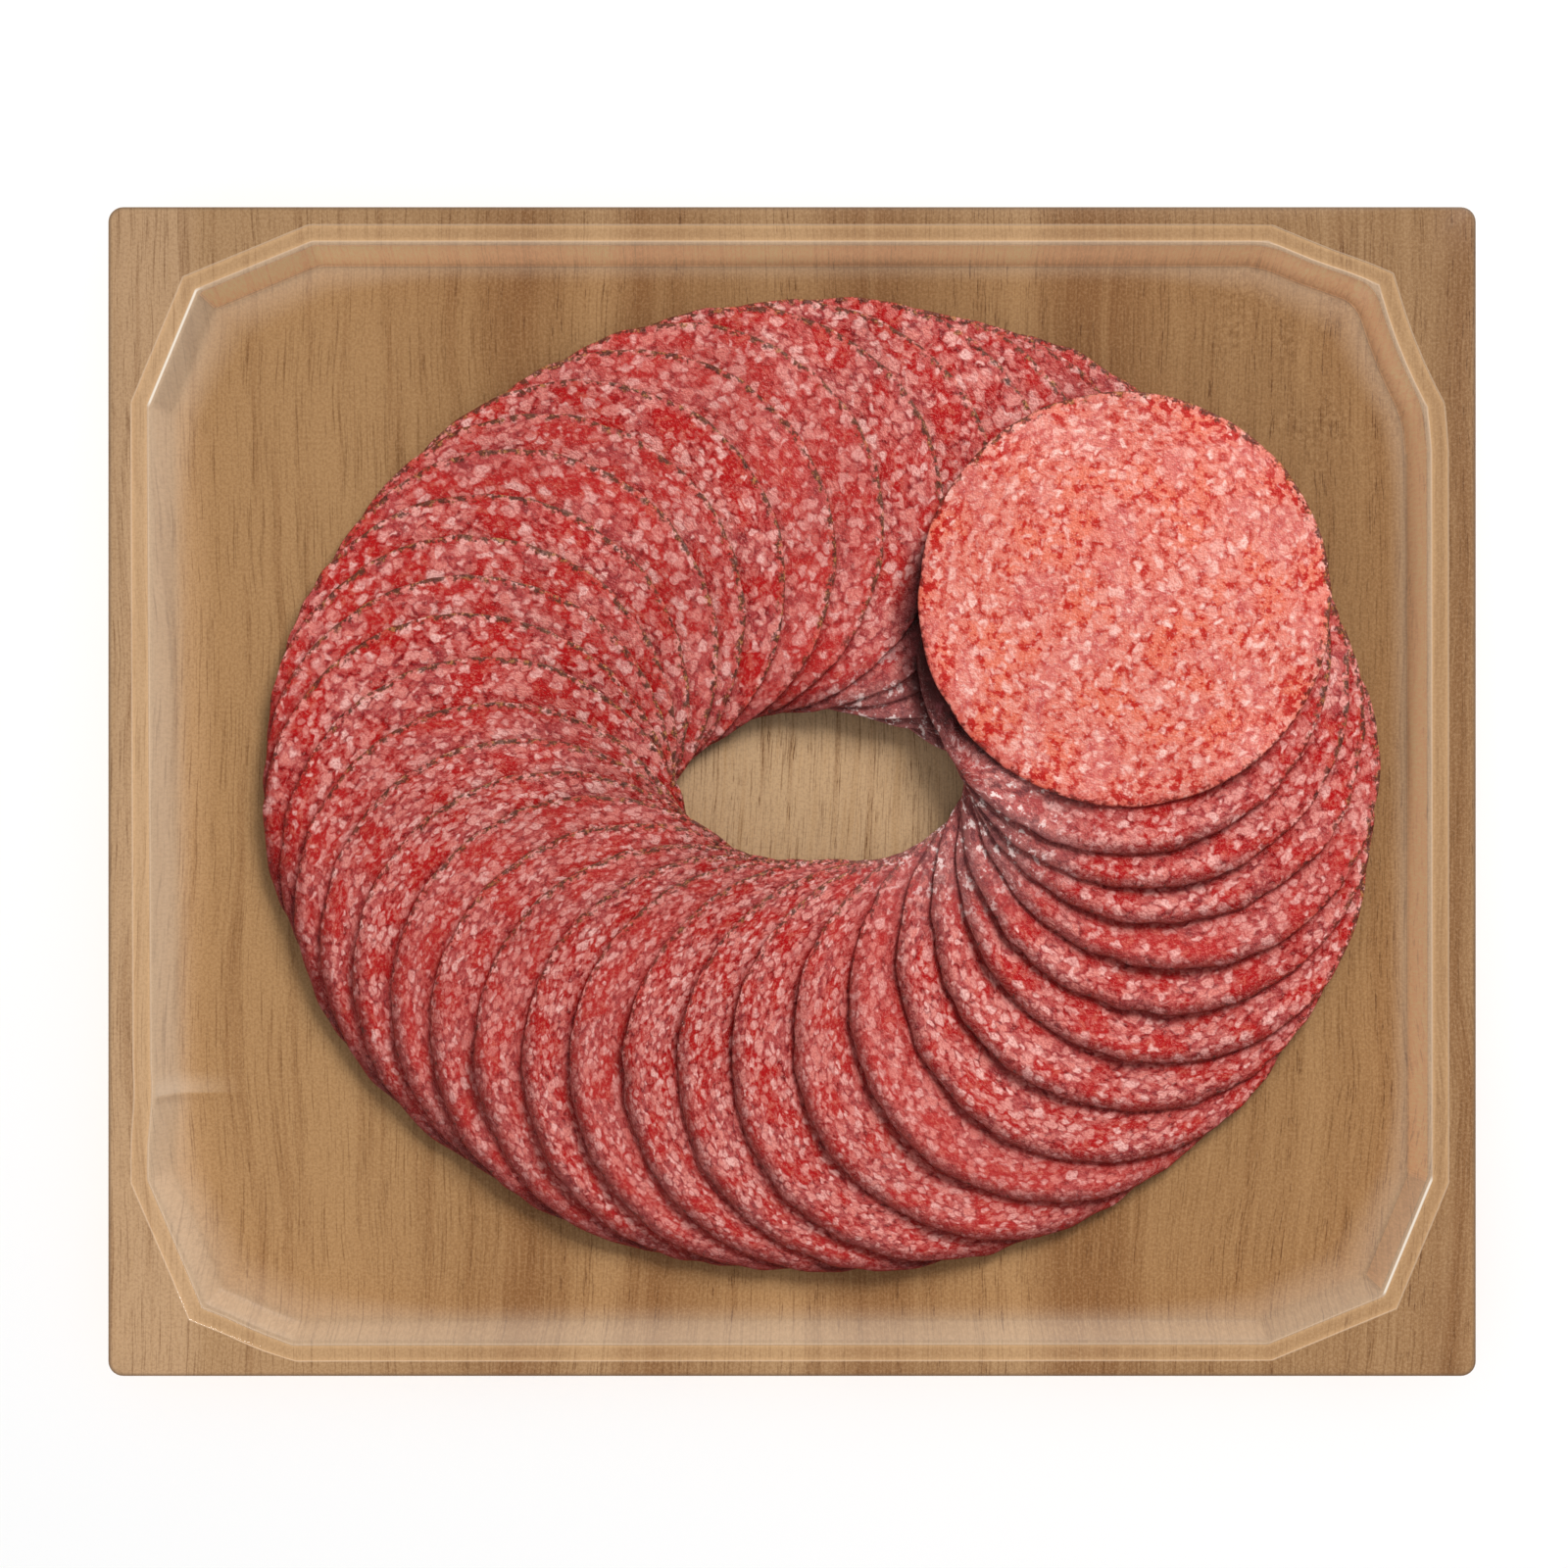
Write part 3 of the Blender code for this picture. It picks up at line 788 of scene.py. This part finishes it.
def salami(name, group, look):
    material, tree, shader = newMaterial(name)
    cut = addNode(tree, "Attribute", attribute_name="cut").outputs["Vector"]
    mm = scaled(tree, cut, (1000.0, 1000.0, 1000.0))
    rims = addNode(tree, "Attribute", attribute_name="rims").outputs["Vector"]
    rims = addNode(tree, "SeparateXYZ", links={0: scaled(tree, rims, (1000.0, 1000.0, 1.0))}).outputs
    meat = addNode(tree, "Group", node_tree=group, links={"Place": mm}, values={
        "Grain": look["grain"], "Fat": look["fat"], "Softness": look["softness"],
    }).outputs
    lean = mixColour(tree, ramp(tree, meat["Mottle"], 0.32, 0.50), look["leanDark"], look["lean"])
    lean = mixColour(tree, ramp(tree, meat["Mottle"], 0.44, 0.62), lean, look["leanPale"])
    cooler = ramp(tree, meat["Redness"], 0.46, 0.34, 0.0, look["drift"])
    lean = mixColour(tree, cooler, lean, look["mauve"])
    warmer = ramp(tree, meat["Redness"], 0.52, 0.64, 0.0, look["drift"])
    lean = mixColour(tree, warmer, lean, look["orange"])
    red = ramp(tree, meat["Mottle"], *look["redWhere"])
    red = product(tree, ramp(tree, meat["Redness"], 0.50, 0.60), red)
    lean = mixColour(tree, product(tree, red, look["redShare"]), lean, look["leanRed"])
    crumbs = mixColour(tree, meat["Tone"], look["leanPale"], look["fatPink"])
    paleness = math1(tree, "POWER", meat["Tone"], 1.4)
    fat = mixColour(tree, paleness, look["fatPink"], look["fatPale"])
    fat = mixColour(tree, ramp(tree, meat["Fine"], 0.62, 0.30, 0.0, 0.45), fat, look["leanPale"])
    colour = mixColour(tree, product(tree, meat["Small"], look["smallShare"]), lean, crumbs)
    colour = mixColour(tree, product(tree, meat["Large"], look["largeShare"]), colour, fat)
    # painted highlights in small specks, and red meat bared along the rim
    glintSpecks = ramp(tree, meat["Fine"], 0.56, 0.72, 0.0, look["speckle"])
    colour = mixColour(tree, glintSpecks, colour, look["speckGlint"])
    pits = ramp(tree, meat["Fine"], 0.42, 0.28, 0.0, look["speckle"])
    colour = mixColour(tree, pits, colour, look["leanDark"])
    bared = product(
        tree, ramp(tree, rims[0], 9.0, 1.5), ramp(tree, meat["Mottle"], 0.54, 0.44),
        ramp(tree, meat["Redness"], 0.40, 0.54), look["bared"]
    )
    colour = mixColour(tree, bared, colour, look["leanRed"])
    # slices differ a little, and painted shadow darkens each one beside the rim that lies on it, widest
    # where that rim turns from the key light
    colour = mixColour(tree, ramp(tree, rims[2], 0.2, 1.0, 0.0, 0.25), colour, look["leanPale"])
    sides = addNode(tree, "Attribute", attribute_name="sides").outputs["Vector"]
    sides = addNode(tree, "SeparateXYZ", links={0: sides}).outputs
    coverTurned = ramp(tree, sides[1], 0.45, -0.35)
    shadowWidth = math1(tree, "MULTIPLY_ADD", coverTurned, 3.3, 1.0)
    coverShadow = ramp(tree, math1(tree, "MULTIPLY_ADD", meat["Fine"], 0.8, rims[1]), shadowWidth, 0.3, smooth=False)
    coverShadow = product(tree, coverShadow, coverShadow, math1(tree, "MULTIPLY_ADD", coverTurned, 0.50, 0.48))
    colour = mixColour(tree, coverShadow, colour, look["rimShadow"], "MULTIPLY")
    # painted shade: a slice is darkest along its own rim where that turns from the light
    shaded = math1(tree, "MULTIPLY_ADD", meat["Fine"], 1.6, rims[0])
    shaded = product(tree, ramp(tree, shaded, 3.6, 0.8), ramp(tree, sides[0], -0.10, -0.75), 0.9)
    colour = mixColour(tree, shaded, colour, look["ownRimShade"], "MULTIPLY")
    # the rim: pepper, herbs and smoke on the skin, patchy. Painted light: where the rim faces the key light
    # its skin is browner and wider, with golden herb flecks; where it turns away it is dark red
    rimLit = ramp(tree, sides[0], -0.30, 0.40)
    pepper = noise(tree, mm, 0.48, 3.0, 0.85)
    ragged = math1(tree, "MULTIPLY_ADD", meat["Fine"], 1.8, rims[0])
    width = math1(tree, "ADD", ramp(tree, meat["Mottle"], 0.38, 0.60, 1.85, 0.75), product(tree, rimLit, 0.45))
    skin = ramp(tree, ragged, width, math1(tree, "ADD", width, -0.9))
    skinColour = mixColour(tree, rimLit, look["skin"], look["litSkin"])
    skinColour = mixColour(tree, ramp(tree, pepper, 0.46, 0.36), skinColour, look["pepper"])
    litHerbs = product(tree, rimLit, ramp(tree, pepper, 0.56, 0.64))
    skinColour = mixColour(tree, litHerbs, skinColour, look["litHerbColour"])
    colour = mixColour(tree, product(tree, skin, look["skinShare"]), colour, skinColour)
    if look["pinch"]:
        colour = pinched(tree, colour, meat["Mottle"], look)
    # painted shadow beside the top slice, on the side where it stands off the others
    besideTopShadow = ramp(tree, sides[2], 0.0080, 0.0022, 0.0, 0.97)
    colour = mixColour(tree, besideTopShadow, colour, look["topSliceShadow"], "MULTIPLY")
    tree.links.new(colour, shader.inputs["Base Color"])
    tree.links.new(ramp(tree, meat["Mottle"], 0.3, 0.7, 0.12, 0.28), shader.inputs["Roughness"])
    shader.inputs["Specular IOR Level"].default_value = 0.25
    shader.inputs["Specular Tint"].default_value = look["sheen"]
    bump = addNode(tree, "Bump", links={"Height": meat["Height"]})
    bump.inputs["Strength"].default_value = 0.65
    bump.inputs["Distance"].default_value = 0.0003
    tree.links.new(bump.outputs[0], shader.inputs["Normal"])
    return material


salamiLook = {
    "grain": 3.9, "fat": 0.96, "softness": 0.23, "smallShare": 0.62, "largeShare": 0.95,
    "leanDark": (0.19, 0.001, 0.003, 1), "lean": (0.40, 0.013, 0.014, 1),
    "leanPale": (0.53, 0.080, 0.068, 1), "leanRed": (0.44, 0.001, 0.003, 1), "redShare": 0.95,
    "redWhere": (0.66, 0.48), "drift": 0.45,
    "mauve": (0.36, 0.055, 0.060, 1), "orange": (0.56, 0.055, 0.018, 1),
    "fatPink": (0.74, 0.225, 0.185, 1), "fatPale": (0.92, 0.53, 0.48, 1),
    "speckle": 0.26, "speckGlint": (0.95, 0.50, 0.40, 1), "bared": 0.4,
    "rimShadow": (0.52, 0.015, 0.018, 1), "topSliceShadow": (0.12, 0.006, 0.020, 1),
    "ownRimShade": (0.25, 0.09, 0.10, 1),  # along a rim that turns from the key light
    "pepper": (0.045, 0.014, 0.010, 1), "skin": (0.20, 0.018, 0.012, 1),
    "litSkin": (0.10, 0.036, 0.018, 1), "litHerbColour": (0.42, 0.18, 0.06, 1),
    "skinShare": 0.88, "sheen": (1.0, 0.70, 0.64, 1),
    "pinch": (0.46, 0.19, 0.18, 1), "crease": (0.14, 0.030, 0.035, 1), "glint": (0.95, 0.76, 0.72, 1),
}
topLook = dict(
    salamiLook, grain=3.3, fat=0.90, softness=0.32, redShare=0.9, redWhere=(0.48, 0.38),
    drift=0.5, mauve=(0.62, 0.145, 0.135, 1), orange=(0.78, 0.165, 0.082, 1),
    speckle=0.30, ownRimShade=(0.80, 0.50, 0.46, 1),
    speckGlint=(0.98, 0.66, 0.58, 1), bared=0.95, pinch=None,
    lean=(0.62, 0.090, 0.060, 1), leanDark=(0.46, 0.020, 0.012, 1), leanPale=(0.74, 0.20, 0.145, 1),
    leanRed=(0.50, 0.008, 0.005, 1), fatPink=(0.78, 0.255, 0.195, 1), fatPale=(0.97, 0.62, 0.55, 1),
)

outlines = []
plain = plainSlice()
meatGroup = choppedMeatGroup()
meatColours = salami("salami", meatGroup, salamiLook)
topColours = salami("salamiTop", meatGroup, topLook)
chance = random.Random(sliceLook["seed"])
for number in range(1, len(sliceNodes) + 1):
    piece = makeSlice(number, plain, chance)
    piece.data.materials.append(topColours if number == 1 else meatColours)
    finishPiece(piece, "salami", sliceNodes[number - 1])
bpy.data.objects.remove(plain)
print("slices made")


# the clear film

filmLook = {
    "thickness": 0.00008,
    "rings": 16,
}


def makeFilm():
    _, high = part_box("top_film")
    base = rimHeight + 0.00012
    dome = high.z - filmLook["thickness"] - base
    piece = flangedPlate("lidding_film", base, trayLook["sealStep"])
    shares = np.linspace(1, 0, filmLook["rings"] + 1)
    heights = dome * (1 - shares**2) ** 0.8
    for i in range(1, filmLook["rings"]):
        bpy.ops.mesh.inset(thickness=0.00001)
        bpy.ops.transform.resize(value=(shares[i] / shares[i - 1], shares[i] / shares[i - 1], 1))
        bpy.ops.transform.translate(value=(0, 0, heights[i] - heights[i - 1]))
    bpy.ops.mesh.poke()
    bpy.ops.object.mode_set(mode="OBJECT")
    bpy.ops.object.transform_apply(location=True, rotation=True, scale=True)
    setPoints(piece, nudged(pointsOf(piece)))
    cleanNormals(piece)
    applyModifier(piece, "SOLIDIFY", "film", thickness=filmLook["thickness"], offset=1.0)
    bpy.ops.object.shade_smooth_by_angle(angle=math.radians(30))
    return piece


def clearFilm():
    material, tree, shader = newMaterial("clearFilm")
    tree.nodes.remove(shader)
    see = addNode(tree, "BsdfTransparent")
    shine = addNode(tree, "BsdfGlossy", values={"Roughness": 0.0, "Color": (1, 1, 1, 1)})
    angle = addNode(tree, "Fresnel", values={"IOR": 1.16})
    behind = addNode(tree, "NewGeometry").outputs["Backfacing"]
    front = math1(tree, "SUBTRACT", 1.0, behind)
    weight = product(tree, angle.outputs[0], front)
    mix = addNode(tree, "MixShader", links={0: weight, 1: see.outputs[0], 2: shine.outputs[0]})
    tree.links.new(mix.outputs[0], tree.nodes["Material Output"].inputs["Surface"])
    return material


film = makeFilm()
film.data.materials.append(clearFilm())
finishPiece(film, "clear_film", "top_film")
for kind in ("visible_shadow", "visible_diffuse", "visible_glossy"):
    setattr(film, kind, False)  # clear as it is, it only needs to be seen
print("film made")


# floor, light and camera

studio = {
    "field": 0.2844,  # the width that the camera takes in at the rim
    "aim": (-0.00146, 0.00137),
    "lens": 100.0,
    "floor": (0.95, 0.95, 0.95, 1),
    "floorShade": (0.93, 0.93, 0.93, 1),
    "world": 0.36,
    "keyPower": 50.0,
    "fillPower": 7.0,
}


def makeStudio():
    deselectAll()
    bpy.ops.mesh.primitive_plane_add(size=8, location=(0, 0, -0.0004))
    floor = bpy.context.object
    floor.name = "floor"
    material, tree, shader = newMaterial("floor")
    grain = noise(tree, addNode(tree, "TexCoord").outputs["Object"], 3.0, 2.0)
    colour = mixColour(tree, grain, studio["floor"], studio["floorShade"])
    tree.links.new(colour, shader.inputs["Base Color"])
    shader.inputs["Roughness"].default_value = 0.8
    floor.data.materials.append(material)
    world = bpy.data.worlds.new("studio")
    world.use_nodes = True
    world.node_tree.nodes["Background"].inputs["Color"].default_value = (1, 1, 1, 1)
    world.node_tree.nodes["Background"].inputs["Strength"].default_value = studio["world"]
    bpy.context.scene.world = world
    for name, place, size, power in (
        ("key", (0.86, 1.38, 1.50), 1.00, studio["keyPower"]),
        ("fill", (-1.0, -1.0, 0.5), 0.8, studio["fillPower"]),
    ):
        light = bpy.data.lights.new(name, "AREA")
        light.size = size
        light.energy = power
        lamp = bpy.data.objects.new(name, light)
        lamp.location = place
        lamp.rotation_euler = (-Vector(place)).to_track_quat("-Z", "Y").to_euler()
        bpy.context.collection.objects.link(lamp)
    camera = bpy.data.cameras.new("camera")
    camera.lens = studio["lens"]
    camera.sensor_width = 36.0
    holder = bpy.data.objects.new("camera", camera)
    distance = studio["field"] * studio["lens"] / 36.0
    holder.location = (*studio["aim"], rimHeight + distance)
    bpy.context.collection.objects.link(holder)
    bpy.context.scene.camera = holder
    bpy.context.scene.view_settings.view_transform = "Standard"


makeStudio()
print("studio made")
